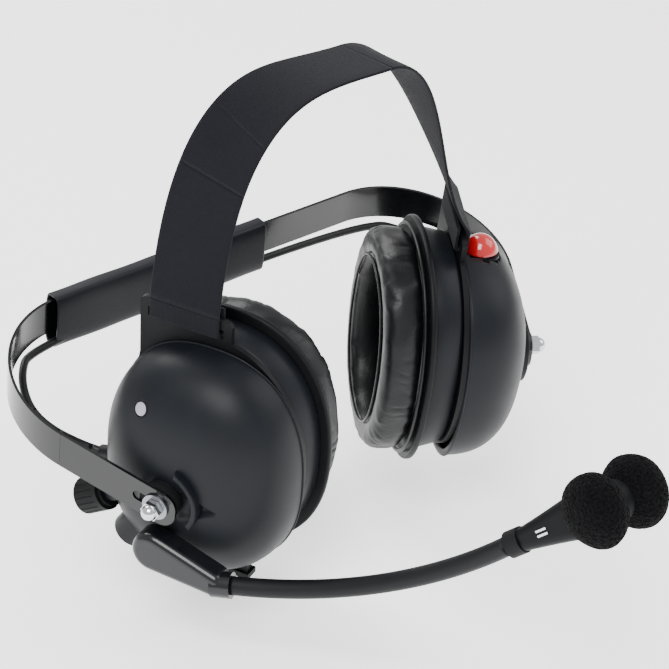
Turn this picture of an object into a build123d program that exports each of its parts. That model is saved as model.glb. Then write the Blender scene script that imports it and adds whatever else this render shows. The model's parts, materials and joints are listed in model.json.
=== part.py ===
from build123d import *
import math
import os

# Behind-the-head two-way headset with a boom microphone. Millimetres.
# The wearer faces -Y, +X is the wearer's left and +Z is up. The origin is the middle of the head,
# halfway between the two ear cushions.

# ---- whole headset -------------------------------------------------------------------------
STUD_SPREAD = 196.0  # between the two cup studs
STUD_SETBACK = -31.0  # studs in front of the middle of the head
STUD_DROP = -12.0  # studs below the middle of the head
BAND_TILT = 8.7  # the whole band leans forward by this angle
TOE = {"right": 22.5, "left": 31.0}  # how far each cup's outer face turns forward
PITCH = {"right": -3.0, "left": 7.0}  # how far each cup has turned on its stud

# ---- cups, measured outward from the cushion's contact face ----------------------------------
CUSHION_R = (41.0, 50.0)  # half width and half height
CUSHION_T = 18.0
EAR_R = (26.0, 34.0)  # ear opening of the cushion
CUSHION_ROUND = 6.0
LIP_R = (44.0, 53.5)
LIP_T = 2.6
SEAT_GAP = 0.15  # clearance between stacked pieces
INNER_R = (40.0, 49.0)
INNER_DEPTH = 12.0
INNER_WALL = 2.4
BRACKET_T = 2.2
BRACKET_R = (40.2, 48.2)
WING_X = (-33.0, 7.0)  # strap wing, rear and front edges
WING_TOP = 57.0
SLOT_X = (-29.5, 3.5)
SLOT_Y = 48.9  # lower edge of the strap slot
SLOT_H = 4.0
SHELL_R = (40.5, 48.0)
SHELL_DROP = -4.0  # centre of the outer shell below the ear centre
SHELL_H = 31.5
SHELL_TAPER = 10.0
SHELL_ROUND = 12.0
SHELL_WALL = 2.4
STUD_AT = (-3.0, -8.0)  # stud from the ear centre: forward, up

# ---- clamp stack on the stud -------------------------------------------------------------------
STUD_R = 2.0
STUD_HEAD_R = 5.0
STUD_HEAD_T = 2.0
RUBBER_R = 8.0
RUBBER_T = 4.6
WASHER_R = 5.4
WASHER_T = 0.9
TURN_CLEARANCE = 0.06  # radial, between a turning piece and its pin
NUT_FLATS = 7.0
NUT_HEX_T = 3.4
NUT_DOME_R = 3.3

# ---- band ----------------------------------------------------------------------------------------
BAND_BACK = 102.0  # back strip behind the studs
BAND_CORNER_R = 45.0
BAND_RISE = 11.0  # the band climbs toward the back by this angle
BAND_W = 15.0
BAND_T = 1.2
ARM_SLOT_TRAVEL = 8.0  # stud travel along the arm slot
ARM_END = 8.5  # band beyond the stud
HINGE_GAP = 0.08
SLEEVE_X = (-76.0, 32.0)  # ends of the sleeve along the back
SLEEVE_OVER = 4.0  # outside height added to band and cable
SLEEVE_T = 8.4
SLEEVE_WALL = 1.0
CABLE_R = 1.7
CABLE_LEAD = 9.0  # straight run out of each grommet
CABLE_ROUTE = {  # hand-laid points seen from above, from each cup round its rear corner
    "right": [(-108.0, BAND_BACK - 36.0), (-101.0, BAND_BACK - 14.0), (-86.0, BAND_BACK)],
    "left": [(114.0, BAND_BACK - 36.0), (107.5, BAND_BACK - 14.0), (92.0, BAND_BACK)],
}
CABLE_BENDS = [7.0, 13.0, 26.0, 22.0]  # bend radii, from the grommet to the back
CABLE_DROP = 11.2  # cable centre below the band centre
STRAP_W = 30.0
STRAP_T = 1.4
STRAP_START = 1.6  # where the free strap starts above the wing
STRAP_GAP = 0.4  # between the strap and the bracket
CROWN = (-38.0, 150.5)  # crown of the strap: Y and Z
STRAP_RISE = {"right": 104.0, "left": 40.0}  # how straight each half leaves its cup
STRAP_LEAN = {"right": 0.15, "left": 0.6}  # how far each half leans towards the head, as a slope
STRAP_SECTIONS = 7  # sections in each half of the strap
CROWN_PULL = 0.4  # how flat the strap lies over the crown, as a share of each half's reach

# ---- right cup extras ----------------------------------------------------------------------------
LED_AT = (-17.0, 25.0)
LED_R = 3.0
KNOB_ANGLE = 212.0  # around the shell edge, from forward, upward positive
KNOB_Z = 53.0  # knob axis outward from the contact face
KNOB_R = 7.6
KNOB_L = 12.0
KNOB_SHAFT_R = 3.0
KNOB_RIDGES = 18
FUNCTION_ANGLE = 236.0
FUNCTION_R = 6.4
BOOM_PIVOT = (-4.0, -30.0)
BOOM_HUB_R = 8.5
BOOM_HUB_T = 9.0
BOOM_R = 3.7
BOOM_COLLAR_R = 5.2
BOOM_PIN_R = 3.2
BOOM_PIN_H = 5.0
BEND_SET = 2.2  # the rear half of the gooseneck stops short of the bend's centre
BOOM_START = (-83.1, -57.9, -41.4)  # in the headset's frame
BOOM_MIDDLE = (-51.0, -112.0, -26.0)
BOOM_TIP = (-32.0, -154.0, 3.0)
MIC_CENTRE = (-14.0, -188.0, 31.0)
MIC_HEAD_R = 7.5
MIC_HEAD_T = 5.0
FOAM_R = (9.6, 13.8)  # half thickness across the head and radius
FOAM_GAP = 0.5  # between the two foams
PORT_AT = 18.0  # charging port forward of the ear centre

# ---- left cup extras -----------------------------------------------------------------------------
PTT_ANGLE = 100.0
PTT_Z = 45.5
PTT_R = 7.6
BUTTON_CLEARANCE = 0.08

# ---- heights of the stacked cup pieces ------------------------------------------------------------
LIP_Z = CUSHION_T + SEAT_GAP
INNER_Z = LIP_Z + LIP_T + SEAT_GAP
BRACKET_Z = INNER_Z + INNER_DEPTH + SEAT_GAP
SHELL_Z = BRACKET_Z + BRACKET_T + SEAT_GAP
SHELL_TOP = SHELL_Z + SHELL_H
RUBBER_Z = SHELL_TOP + SEAT_GAP
ARM_Z = RUBBER_Z + RUBBER_T + SEAT_GAP
WASHER_Z = ARM_Z + BAND_T + SEAT_GAP
NUT_Z = WASHER_Z + WASHER_T + SEAT_GAP

os.makedirs("parts", exist_ok=True)


def stud_point(side):
    """The middle of the band strip on the stud, in the band's own frame."""
    return Vector(-STUD_SPREAD / 2 if side == "right" else STUD_SPREAD / 2, 0, 0)


def outward(side):
    toe = math.radians(TOE[side])
    across = -math.cos(toe) if side == "right" else math.cos(toe)
    return Vector(across, -math.sin(toe), 0)


def forward(side):
    toe = math.radians(TOE[side])
    across = math.sin(toe) if side == "right" else -math.sin(toe)
    return Vector(across, -math.cos(toe), 0)


BAND_FRAME = Location((0, STUD_SETBACK, STUD_DROP)) * Location((0, 0, 0), (BAND_TILT, 0, 0))


def cup_location(side):
    """The ear centre on the contact face: X forward (rearward on the left), Y up, Z outward."""
    pitch = math.radians(PITCH[side])
    out = outward(side)
    ahead = forward(side) * math.cos(pitch) - Vector(0, 0, 1) * math.sin(pitch)
    up = forward(side) * math.sin(pitch) + Vector(0, 0, 1) * math.cos(pitch)
    centre = stud_point(side) - out * (ARM_Z + BAND_T / 2) - ahead * STUD_AT[0] - up * STUD_AT[1]
    along = ahead if side == "right" else ahead * -1
    return BAND_FRAME * Plane(origin=centre, x_dir=along, z_dir=out).location


def write(node, shape):
    export_step(shape, f"parts/{node}.step")


def place_cup(side, shape):
    """Move a shape from right cup coordinates to its cup, mirrored for the left one."""
    if side == "left":
        shape = shape.mirror(Plane.YZ)
    return cup_location(side) * shape


def disc(radii, z, height, drop=0.0):
    """An elliptical slab with its lower face at z."""
    return extrude(Plane.XY.offset(z) * Pos(0, drop) * Ellipse(*radii), height)


def rod(radius, z, height, at=(0.0, 0.0)):
    return Pos(at[0], at[1], z) * Cylinder(radius, height, align=(Align.CENTER, Align.CENTER, Align.MIN))


def shrink(radii, by):
    return (radii[0] - by, radii[1] - by)


def edge_frame(angle, z, reach):
    """A frame on the shell's side wall at an angle, Z pointing away from the shell."""
    a = math.radians(angle)
    direction = Vector(math.cos(a), math.sin(a), 0)
    rim = 1 / math.hypot(math.cos(a) / SHELL_R[0], math.sin(a) / SHELL_R[1])
    inset = (z - SHELL_Z) * math.tan(math.radians(SHELL_TAPER))
    point = Vector(0, SHELL_DROP, z) + direction * (rim - inset + reach)
    return Plane(origin=point, x_dir=(0, 0, 1), z_dir=direction).location


def along(frame, radius, start, length):
    """A round rod on a frame's Z axis."""
    return frame * rod(radius, start, length)


# ---- pieces that both cups share -----------------------------------------------------------------
SPEAKER_LIFT = 4.15  # speaker rim above the cup's mouth
SPEAKER_R = 18.0
SCREWS_AT = [(-24.0, 27.0), (24.0, 27.0), (-20.0, -27.0), (20.0, -27.0)]
SCREW_R = 1.4
SCREW_CLEARANCE = 0.05
POST_R = 3.2


def cushion():
    ring = disc(CUSHION_R, 0, CUSHION_T) - disc(EAR_R, -1, CUSHION_T + 2)
    rims = ring.edges().filter_by(GeomType.CIRCLE, reverse=True).group_by(Axis.Z)[0]
    return fillet(rims, CUSHION_ROUND)


def cushion_plate():
    return disc(LIP_R, LIP_Z, LIP_T) - disc(EAR_R, LIP_Z - 1, LIP_T + 2)


def inner_cup():
    body = disc(INNER_R, INNER_Z, INNER_DEPTH)
    body -= disc(shrink(INNER_R, INNER_WALL), INNER_Z - 1, INNER_DEPTH - INNER_WALL + 1)
    for at in SCREWS_AT:
        body -= rod(SCREW_R + SCREW_CLEARANCE, INNER_Z, INNER_DEPTH + 1, at)
    return body


def bracket():
    plate = disc(BRACKET_R, BRACKET_Z, BRACKET_T)
    wing_w = WING_X[1] - WING_X[0]
    wing = Pos((WING_X[0] + WING_X[1]) / 2, WING_TOP / 2 + 10, BRACKET_Z) * Box(
        wing_w, WING_TOP - 20, BRACKET_T, align=(Align.CENTER, Align.CENTER, Align.MIN)
    )
    wing = fillet(wing.edges().filter_by(Axis.Z).group_by(Axis.Y)[-1], 3.0)
    plate += wing
    slot = Pos((SLOT_X[0] + SLOT_X[1]) / 2, SLOT_Y + SLOT_H / 2, BRACKET_Z - 1) * Box(
        SLOT_X[1] - SLOT_X[0], SLOT_H, BRACKET_T + 2, align=(Align.CENTER, Align.CENTER, Align.MIN)
    )
    plate -= slot
    for at in SCREWS_AT:
        plate -= rod(SCREW_R + SCREW_CLEARANCE, BRACKET_Z - 1, BRACKET_T + 2, at)
    return plate


def shell_form(radii, z, height, rounding):
    """The shell's domed outline: a tapered ellipse with a rounded outer edge."""
    form = extrude(Plane.XY.offset(z) * Pos(0, SHELL_DROP) * Ellipse(*radii), height, taper=SHELL_TAPER)
    return fillet(form.edges().group_by(Axis.Z)[-1], rounding)


def shell(cuts=()):
    body = shell_form(SHELL_R, SHELL_Z, SHELL_H, SHELL_ROUND)
    hollow = shell_form(
        shrink(SHELL_R, SHELL_WALL), SHELL_Z, SHELL_H - SHELL_WALL, SHELL_ROUND - SHELL_WALL
    )
    body -= hollow
    inside = shell_form(SHELL_R, SHELL_Z, SHELL_H, SHELL_ROUND)
    for at in SCREWS_AT:
        body += rod(POST_R, SHELL_Z, SHELL_H, at) & inside
        body -= rod(SCREW_R + SCREW_CLEARANCE, SHELL_Z - 1, 9.0, at)
    body -= rod(STUD_R + SCREW_CLEARANCE, SHELL_TOP - SHELL_WALL - 1, SHELL_WALL + 2, STUD_AT)
    for cut in cuts:
        body -= cut
    return body


def screws():
    seat = BRACKET_Z - SEAT_GAP - INNER_WALL
    every = []
    for at in SCREWS_AT:
        screw = rod(SCREW_R, seat - 1.0, 9.0 + INNER_WALL, at)
        screw += rod(SCREW_R * 1.9, seat - 1.65, 1.6, at)
        every.append(screw)
    return Compound(every)


def foam_disc():
    return disc(shrink(INNER_R, INNER_WALL + 1.0), INNER_Z + 0.4, 3.6)


def speaker():
    body = rod(SPEAKER_R, INNER_Z + SPEAKER_LIFT, 2.2)
    body += rod(SPEAKER_R * 0.6, INNER_Z + SPEAKER_LIFT, 5.3)
    return body


def stud():
    body = rod(STUD_HEAD_R, SHELL_TOP - SHELL_WALL - SEAT_GAP - STUD_HEAD_T, STUD_HEAD_T, STUD_AT)
    head = SHELL_TOP - SHELL_WALL - SEAT_GAP
    body += rod(STUD_R, head, NUT_Z + NUT_HEX_T - head - SEAT_GAP, STUD_AT)
    return body


def rubber_washer():
    ring = rod(RUBBER_R, RUBBER_Z, RUBBER_T, STUD_AT)
    return ring - rod(STUD_R + TURN_CLEARANCE, RUBBER_Z - 1, RUBBER_T + 2, STUD_AT)


def flat_washer():
    ring = rod(WASHER_R, WASHER_Z, WASHER_T, STUD_AT)
    return ring - rod(STUD_R + TURN_CLEARANCE, WASHER_Z - 1, WASHER_T + 2, STUD_AT)


def acorn_nut():
    hexagon = Plane.XY.offset(NUT_Z) * Pos(*STUD_AT) * RegularPolygon(NUT_FLATS / 2, 6, major_radius=False)
    body = extrude(hexagon, NUT_HEX_T)
    dome = Pos(STUD_AT[0], STUD_AT[1], NUT_Z + NUT_HEX_T) * Sphere(NUT_DOME_R)
    body += dome & rod(NUT_DOME_R, NUT_Z + NUT_HEX_T - 0.5, NUT_DOME_R + 1, STUD_AT)
    return body - rod(STUD_R + SCREW_CLEARANCE, NUT_Z - 1, NUT_HEX_T + 1.5, STUD_AT)


def strap_end():
    """The strap's folded end: down the outside, through the slot and up the inside."""
    middle = (SLOT_X[0] + SLOT_X[1]) / 2
    out_z = BRACKET_Z + BRACKET_T + STRAP_GAP
    in_z = BRACKET_Z - STRAP_GAP - STRAP_T
    low = SLOT_Y + 0.5
    top = WING_TOP + 1.0

    def leaf(z, depth, y, height):
        return Pos(middle, y, z) * Box(STRAP_W, height, depth, align=(Align.CENTER, Align.MIN, Align.MIN))

    body = leaf(out_z, STRAP_T, low, top - low)
    body += leaf(in_z, STRAP_T, low, top - low + 3.0)
    body += leaf(in_z, out_z + STRAP_T - in_z, low, STRAP_T)
    return body


def grommet_frame():
    return edge_frame(196.0, SHELL_Z + 9.0, 0.0)


def grommet():
    frame = grommet_frame()
    body = along(frame, 3.4, 0.8, 6.0) + along(frame, 2.6, -3.0, 4.0)
    return body - along(frame, CABLE_R + SEAT_GAP, -4.0, 12.0)


# ---- right cup extras ----------------------------------------------------------------------------
def knob_frame():
    return edge_frame(KNOB_ANGLE, KNOB_Z, 0.0)


def function_frame():
    return edge_frame(FUNCTION_ANGLE, KNOB_Z - 1.0, 0.0)


def right_cuts():
    cuts = [rod(LED_R + SCREW_CLEARANCE, SHELL_TOP - 8, 10, LED_AT)]
    cuts.append(along(grommet_frame(), 2.6 + SCREW_CLEARANCE, -8.0, 12.0))
    cuts.append(along(knob_frame(), KNOB_SHAFT_R + 1.6, -10.0, 12.0))
    cuts.append(along(function_frame(), FUNCTION_R + 1.2, -10.0, 12.0))
    cuts.append(Pos(PORT_AT, SHELL_DROP - SHELL_R[1] + 8, SHELL_Z + 7.0) * Box(9.0, 20.0, 4.4))
    cuts.append(rod(BOOM_PIN_R + SCREW_CLEARANCE, SHELL_TOP - SHELL_WALL - 4, SHELL_WALL + 8, BOOM_PIVOT))
    return cuts


def knob():
    body = rod(KNOB_R, 4.0, KNOB_L)
    body = fillet(body.edges().group_by(Axis.Z)[-1], 0.7)
    body += rod(KNOB_R * 0.82, 2.6, 1.6)
    for k in range(KNOB_RIDGES):
        groove = Rot(0, 0, 360 * k / KNOB_RIDGES) * Pos(KNOB_R + 0.25, 0, 6.0)
        body -= groove * Cylinder(0.6, KNOB_L, align=(Align.CENTER, Align.CENTER, Align.MIN))
    return knob_frame() * (body - rod(KNOB_SHAFT_R, 0.0, 9.0))


def knob_shaft():
    return along(knob_frame(), KNOB_SHAFT_R, -3.0, 12.0)


def knob_bushing():
    frame = knob_frame()
    body = along(frame, KNOB_SHAFT_R + 1.5, -8.4, 10.6) + along(frame, KNOB_R * 0.8, -8.4, 2.4)
    return body - along(frame, KNOB_SHAFT_R + TURN_CLEARANCE, -3.2, 6.0)


def function_bezel():
    frame = function_frame()
    body = along(frame, FUNCTION_R + 1.1, -6.0, 10.5)
    return body - along(frame, FUNCTION_R - 0.8, -4.0, 9.0)


def function_button():
    frame = function_frame()
    radius = FUNCTION_R - 0.8 - BUTTON_CLEARANCE
    body = along(frame, radius, 0.6, 5.6)
    return body


def function_switch():
    return along(function_frame(), 2.4, -3.9, 2.4)


def led_lens():
    return rod(LED_R, SHELL_TOP - 5.0, 5.4, LED_AT)


def charging_socket():
    return Pos(PORT_AT, SHELL_DROP - SHELL_R[1] + 12.0, SHELL_Z + 7.0) * Box(8.4, 8.0, 3.8)


def port_cover():
    plug = Pos(PORT_AT, SHELL_DROP - SHELL_R[1] + 4.6, SHELL_Z + 7.0) * Box(8.4, 6.0, 3.8)
    return plug + Pos(PORT_AT, SHELL_DROP - SHELL_R[1] + 0.9, SHELL_Z + 7.0) * Box(11.0, 2.4, 6.4)


def main_board():
    return Pos(0, 2.0, SHELL_Z + 16.0) * Box(38.0, 44.0, 1.6, align=(Align.CENTER, Align.CENTER, Align.MIN))


def boom_bushing():
    body = rod(BOOM_PIN_R, SHELL_TOP - SHELL_WALL - 2, SHELL_WALL + 2 + BOOM_PIN_H, BOOM_PIVOT)
    return body + rod(4.4, SHELL_TOP - SHELL_WALL - 2.6, 2.0, BOOM_PIVOT)


def boom_path():
    """The gooseneck's centre line, one arc from the mount to the microphone."""
    return ThreePointArc(BOOM_START, BOOM_MIDDLE, BOOM_TIP)


def line_frame(point, direction):
    """A frame at a point with Z along a direction."""
    return Plane(origin=point, z_dir=direction).location


def boom_mount():
    """The teardrop mount that turns on the cup, with the collar that grips the gooseneck."""
    z = SHELL_TOP + 0.3
    path = boom_path()
    mouth = Pos(*(path @ 0)).position
    local = (cup_location("right").inverse() * Pos(mouth)).position
    tail = (local.X - 7.5, local.Y)
    outline = make_hull(
        (Pos(*BOOM_PIVOT) * Circle(BOOM_HUB_R)).edges() + (Pos(*tail) * Circle(BOOM_COLLAR_R)).edges()
    )
    body = extrude(Plane.XY.offset(z) * outline, BOOM_HUB_T)
    body = fillet(body.edges().group_by(Axis.Z)[-1], 3.0)
    body -= rod(BOOM_PIN_R + TURN_CLEARANCE, z - 1, BOOM_PIN_H + 1.5, BOOM_PIVOT)
    collar = line_frame(mouth, (path % 0) * -1) * rod(BOOM_COLLAR_R, 0.1, 8.0)
    return cup_location("right") * body + collar


def gooseneck_rear():
    path = boom_path().trim(0, 0.5)
    tube = sweep(Plane(origin=path @ 0, z_dir=path % 0) * Circle(BOOM_R), path)
    joint = boom_path() @ 0.5
    tube -= line_frame(joint, boom_path() % 0.5) * Pos(0, 0, -BEND_SET) * Cylinder(
        BOOM_R + 2, 20, align=(Align.CENTER, Align.CENTER, Align.MIN)
    )
    return tube - Pos(*joint) * Sphere(BOOM_R + TURN_CLEARANCE)


def gooseneck_front():
    path = boom_path().trim(0.5, 1)
    tube = sweep(Plane(origin=path @ 0, z_dir=path % 0) * Circle(BOOM_R), path)
    return tube + Pos(*(path @ 0)) * Sphere(BOOM_R)


def mic_direction():
    return (Vector(*MIC_CENTRE) - Vector(*BOOM_TIP)).normalized()


def tip_collar():
    body = line_frame(BOOM_TIP, mic_direction()) * rod(BOOM_R + 1.4, 1.0, 6.0)
    return body


def mic_head():
    """The flat disc between the two foams, its axis across the head."""
    return Pos(*MIC_CENTRE) * Rot(0, 90, 0) * Cylinder(MIC_HEAD_R, MIC_HEAD_T)


def mic_frame(distance):
    """A section plane of the microphone housing, X up and down, Y across the head."""
    point = Vector(*BOOM_TIP) + mic_direction() * distance
    return Plane(origin=point, x_dir=mic_direction().cross(Vector(1, 0, 0)), z_dir=mic_direction())


def mic_body():
    """The tapered housing, from the collar to the head between the foams."""
    length = (Vector(*MIC_CENTRE) - Vector(*BOOM_TIP)).length
    sections = [
        mic_frame(7.3) * RectangleRounded(8.6, 8.2, 3.0),
        mic_frame(length * 0.42) * RectangleRounded(12.5, 9.0, 3.6),
        mic_frame(length - 14.0) * RectangleRounded(17.5, 9.4, 4.0),
    ]
    return loft(sections)


def half_space(side):
    """One side of the housing's parting plane, which stands across the head."""
    across = Vector(1, 0, 0) - mic_direction() * mic_direction().X
    return line_frame(BOOM_TIP, across * side) * Box(160, 160, 40, align=(
        Align.CENTER, Align.CENTER, Align.MIN))


def mic_half(side):
    half = mic_body() & half_space(side)
    return half


def mic_core():
    """The head disc and the neck that carries it in the housing."""
    length = (Vector(*MIC_CENTRE) - Vector(*BOOM_TIP)).length
    neck = mic_frame(length - 13.85) * RectangleRounded(9.0, MIC_HEAD_T - 0.6, 1.5)
    return mic_head() + extrude(neck, 7.3)


def foam(side):
    """One windscreen, a flattened ball round its side of the head."""
    half, radius = FOAM_R
    centre = Vector(*MIC_CENTRE) + Vector(side * (half + FOAM_GAP / 2), 0, 0)
    face = Ellipse(half, radius) & Pos(0, radius) * Rectangle(3 * half, 2 * radius)
    ball = Pos(*centre) * revolve(face, Axis.X)
    room = Pos(*MIC_CENTRE) * Rot(0, 90, 0) * Cylinder(MIC_HEAD_R + 0.2, MIC_HEAD_T + 0.4)
    length = (Vector(*MIC_CENTRE) - Vector(*BOOM_TIP)).length
    passage = extrude(mic_frame(length - 30.0) * RectangleRounded(18.2, 10.1, 4.2), 23.7)
    return ball - room - passage


def slot_trim():
    across = Vector(1, 0, 0) - mic_direction() * mic_direction().X
    point = Vector(*BOOM_TIP) + mic_direction() * 18.0 - across.normalized() * 4.45
    frame = Plane(origin=point, x_dir=mic_direction(), z_dir=across * -1).location
    bars = [frame * Pos(0, y, 0.4) * Box(4.4, 0.8, 0.5) for y in (-0.9, 0.9)]
    return Compound(bars)




# ---- band, sleeve, cable and strap ---------------------------------------------------------------
def arm_heading(side):
    """Rearward along the arm, seen from above."""
    return forward(side) * -1


def corner_point(side):
    heading = arm_heading(side)
    return stud_point(side) + heading * (BAND_BACK / heading.Y)


def hinge_point(side):
    """Where the straight arm meets the rounded rear corner."""
    turn = math.radians(90 + TOE[side])
    return corner_point(side) - arm_heading(side) * (BAND_CORNER_R * math.tan(turn / 2))


def on_slope(point, below=0.0):
    """A plan point lifted onto the band's rising plane."""
    return Vector(point.X, point.Y, point.Y * math.tan(math.radians(BAND_RISE)) - below)


def slab(width, shift=0.0):
    """Everything within a height of the band's rising plane."""
    block = Box(900, 900, width * math.cos(math.radians(BAND_RISE)))
    return Pos(0, 0, shift) * Rot(BAND_RISE, 0, 0) * block


def back_line():
    """Both rear corners and the straight back between them, seen from above."""
    corners = {}
    for side, turn in (("right", -1), ("left", 1)):
        corners[side] = JernArc(
            hinge_point(side), arm_heading(side), BAND_CORNER_R, turn * (90 + TOE[side])
        )
    back = Line(corners["right"] @ 1, corners["left"] @ 1)
    return Wire([corners["right"].edge(), back.edge(), corners["left"].edge()])


def ribbon(line, thickness, width, shift=0.0):
    """A strip standing on a plan line, between two rising planes."""
    wall = extrude(Pos(0, 0, -60) * trace(line, thickness), 160)
    return wall & slab(width, shift)


def hinge_rod(side, radius, width):
    point = hinge_point(side)
    return Pos(point.X, point.Y, -60) * Cylinder(radius, 160, align=(
        Align.CENTER, Align.CENTER, Align.MIN)) & slab(width)


def band_back():
    strip = ribbon(back_line(), BAND_T, BAND_W)
    for side in TOE:
        strip -= hinge_rod(side, BAND_T / 2 + HINGE_GAP, BAND_W + 5)
    return strip


def slide_direction(side):
    return on_slope(arm_heading(side)).normalized()


def arm(side):
    start = stud_point(side) - arm_heading(side) * ARM_END
    strip = ribbon(Line(start, hinge_point(side)), BAND_T, BAND_W)
    tip = strip.edges().filter_by(lambda e: abs(e.length - BAND_T) < 0.01)
    tip = tip.sort_by(lambda e: (e.center() - start).length)[:2]
    strip = fillet(tip, BAND_W * 0.42)
    strip += hinge_rod(side, BAND_T / 2, BAND_W)
    slide = slide_direction(side)
    frame = Plane(origin=stud_point(side), x_dir=slide, z_dir=outward(side)).location
    slot = frame * Pos(ARM_SLOT_TRAVEL / 2, 0, -5) * extrude(
        SlotCenterToCenter(ARM_SLOT_TRAVEL + 0.6, 2 * (STUD_R + 0.12)), 10
    )
    return strip - slot


def sleeve():
    top = BAND_W / 2 + SLEEVE_OVER / 2
    bottom = CABLE_DROP + CABLE_R + SLEEVE_OVER / 2
    middle = (top - bottom) / 2
    outer = ribbon(back_line(), SLEEVE_T, top + bottom, middle)
    inner = ribbon(back_line(), SLEEVE_T - 2 * SLEEVE_WALL, top + bottom - 2 * SLEEVE_WALL, middle)
    window = Pos((SLEEVE_X[0] + SLEEVE_X[1]) / 2, BAND_BACK - 20, 0) * Box(
        SLEEVE_X[1] - SLEEVE_X[0], 60, 300
    )
    return (outer & window) - inner


def cable():
    points = []
    for side in ("right", "left"):
        frame = BAND_FRAME.inverse() * grommet_world(side)
        leaving = [(frame * Pos(0, 0, reach)).position for reach in (0.5, CABLE_LEAD)]
        laid = [on_slope(Vector(*point), CABLE_DROP) for point in CABLE_ROUTE[side]]
        points += leaving + laid if side == "right" else (leaving + laid)[::-1]
    line = FilletPolyline(*points, radius=CABLE_BENDS + CABLE_BENDS[::-1])
    return sweep(Plane(origin=line @ 0, z_dir=line % 0) * Circle(CABLE_R), line)


def grommet_world(side):
    frame = grommet_frame()
    if side == "left":
        flipped = Plane(frame)
        origin = Vector(-flipped.origin.X, flipped.origin.Y, flipped.origin.Z)
        z_dir = Vector(-flipped.z_dir.X, flipped.z_dir.Y, flipped.z_dir.Z)
        frame = Plane(origin=origin, x_dir=(0, 0, 1), z_dir=z_dir).location
    return cup_location(side) * frame


def strap_root(side):
    """Where the strap leaves a cup's wing: a point, its first reach upward and its width direction."""
    middle = (SLOT_X[0] + SLOT_X[1]) / 2 * (1 if side == "right" else -1)
    frame = cup_location(side)
    point = (frame * Pos(middle, WING_TOP + STRAP_START, BRACKET_Z + BRACKET_T + STRAP_GAP + STRAP_T / 2)).position
    plane = Plane(frame)
    ahead = plane.x_dir if side == "right" else plane.x_dir * -1
    rise = (plane.y_dir - plane.z_dir * STRAP_LEAN[side]).normalized() * STRAP_RISE[side]
    return point, rise, ahead


def head_strap():
    """The overhead strap, an arch that twists from each cup's plane to straight across the head."""
    crown = Vector(0, *CROWN)
    sections = []
    right, left = strap_root("right"), strap_root("left")
    for root, reverse in ((right, False), (left, True)):
        point, rise, width = root
        reach = crown - point
        pull = Vector(reach.X * CROWN_PULL, 0, 0)
        curve = Bezier(point, point + rise, crown - pull, crown)
        steps = [step / STRAP_SECTIONS for step in range(STRAP_SECTIONS)]
        steps = steps[::-1] if reverse else steps
        half = []
        for step in steps:
            direction = (curve % step) * (-1 if reverse else 1)
            across = width * (1 - step) + Vector(0, -1, 0) * step
            plane = Plane(origin=curve @ step, x_dir=across, z_dir=direction)
            half.append(plane * Rectangle(STRAP_W, STRAP_T))
        if not reverse:
            half.append(Plane(origin=crown, x_dir=(0, -1, 0), z_dir=(1, 0, 0)) * Rectangle(STRAP_W, STRAP_T))
        sections += half
    return loft(sections)


def battery():
    return Pos(2, 2, SHELL_Z + 15.5) * Box(34, 44, 7)


def charge_board():
    return Pos(0, 2.0, SHELL_Z + 9.0) * Box(38, 44, 1.4)


def ptt_frame():
    return edge_frame(PTT_ANGLE, PTT_Z, 0.0)


def ptt_cuts():
    return [
        along(ptt_frame(), PTT_R + 0.4, -10.0, 14.0),
        along(grommet_frame(), 2.6 + SCREW_CLEARANCE, -8.0, 12.0),
    ]


def ptt_cap():
    frame = ptt_frame()
    dome = frame * Pos(0, 0, -2.0) * scale(Sphere(1.0), by=(PTT_R, PTT_R, 9.0))
    return dome & along(frame, PTT_R + 1, 0.6, 20.0)


def ptt_collar():
    body = along(ptt_frame(), PTT_R + 0.35, -6.0, 5.0)
    return body - along(ptt_frame(), PTT_R - 1.4, -4.8, 6.0)


def ptt_switch():
    return along(ptt_frame(), 3.0, -4.7, 3.0)


# ---- writing every piece ---------------------------------------------------------------------------
SHARED = {
    "cushion": cushion,
    "cushion_plate": cushion_plate,
    "inner_cup": inner_cup,
    "strap_bracket": bracket,
    "shell_screws": screws,
    "damping_foam": foam_disc,
    "speaker": speaker,
    "stud": stud,
    "rubber_washer": rubber_washer,
    "flat_washer": flat_washer,
    "acorn_nut": acorn_nut,
    "strap_end": strap_end,
    "cable_grommet": grommet,
}
RIGHT_ONLY = {
    "volume_knob": knob,
    "volume_shaft": knob_shaft,
    "volume_bushing": knob_bushing,
    "function_bezel": function_bezel,
    "function_button": function_button,
    "function_switch": function_switch,
    "status_lens": led_lens,
    "charging_socket": charging_socket,
    "port_cover": port_cover,
    "main_board": main_board,
    "boom_pin": boom_bushing,
}
LEFT_ONLY = {
    "talk_button": ptt_cap,
    "talk_collar": ptt_collar,
    "talk_switch": ptt_switch,
    "battery": battery,
    "charge_board": charge_board,
}
BOOM = {
    "boom_mount": boom_mount,
    "gooseneck_rear": gooseneck_rear,
    "gooseneck_front": gooseneck_front,
    "tip_collar": tip_collar,
    "mic_core": mic_core,
    "mic_slot_trim": slot_trim,
}
BAND = {"band_back": band_back, "band_sleeve": sleeve, "crossover_cable": cable}

for side, cuts in (("right", right_cuts()), ("left", ptt_cuts())):
    for name, make in SHARED.items():
        write(f"{side}_{name}", place_cup(side, make()))
    write(f"{side}_outer_shell", place_cup(side, shell(cuts)))
    write(f"{side}_arm", BAND_FRAME * arm(side))
for name, make in RIGHT_ONLY.items():
    write(name, place_cup("right", make()))
for name, make in LEFT_ONLY.items():
    write(name, place_cup("left", make()))
for name, make in BOOM.items():
    write(name, make())
for name, make in BAND.items():
    write(name, BAND_FRAME * make())
write("mic_outer_half", mic_half(-1))
write("mic_inner_half", mic_half(1))
write("outer_windscreen", foam(-1))
write("inner_windscreen", foam(1))
write("head_strap", head_strap())
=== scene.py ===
"""Behind-the-head headset with a boom microphone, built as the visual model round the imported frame.

Lengths are metres. +Z is up, the wearer faces -Y and +X is the wearer's left.
"""

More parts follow.
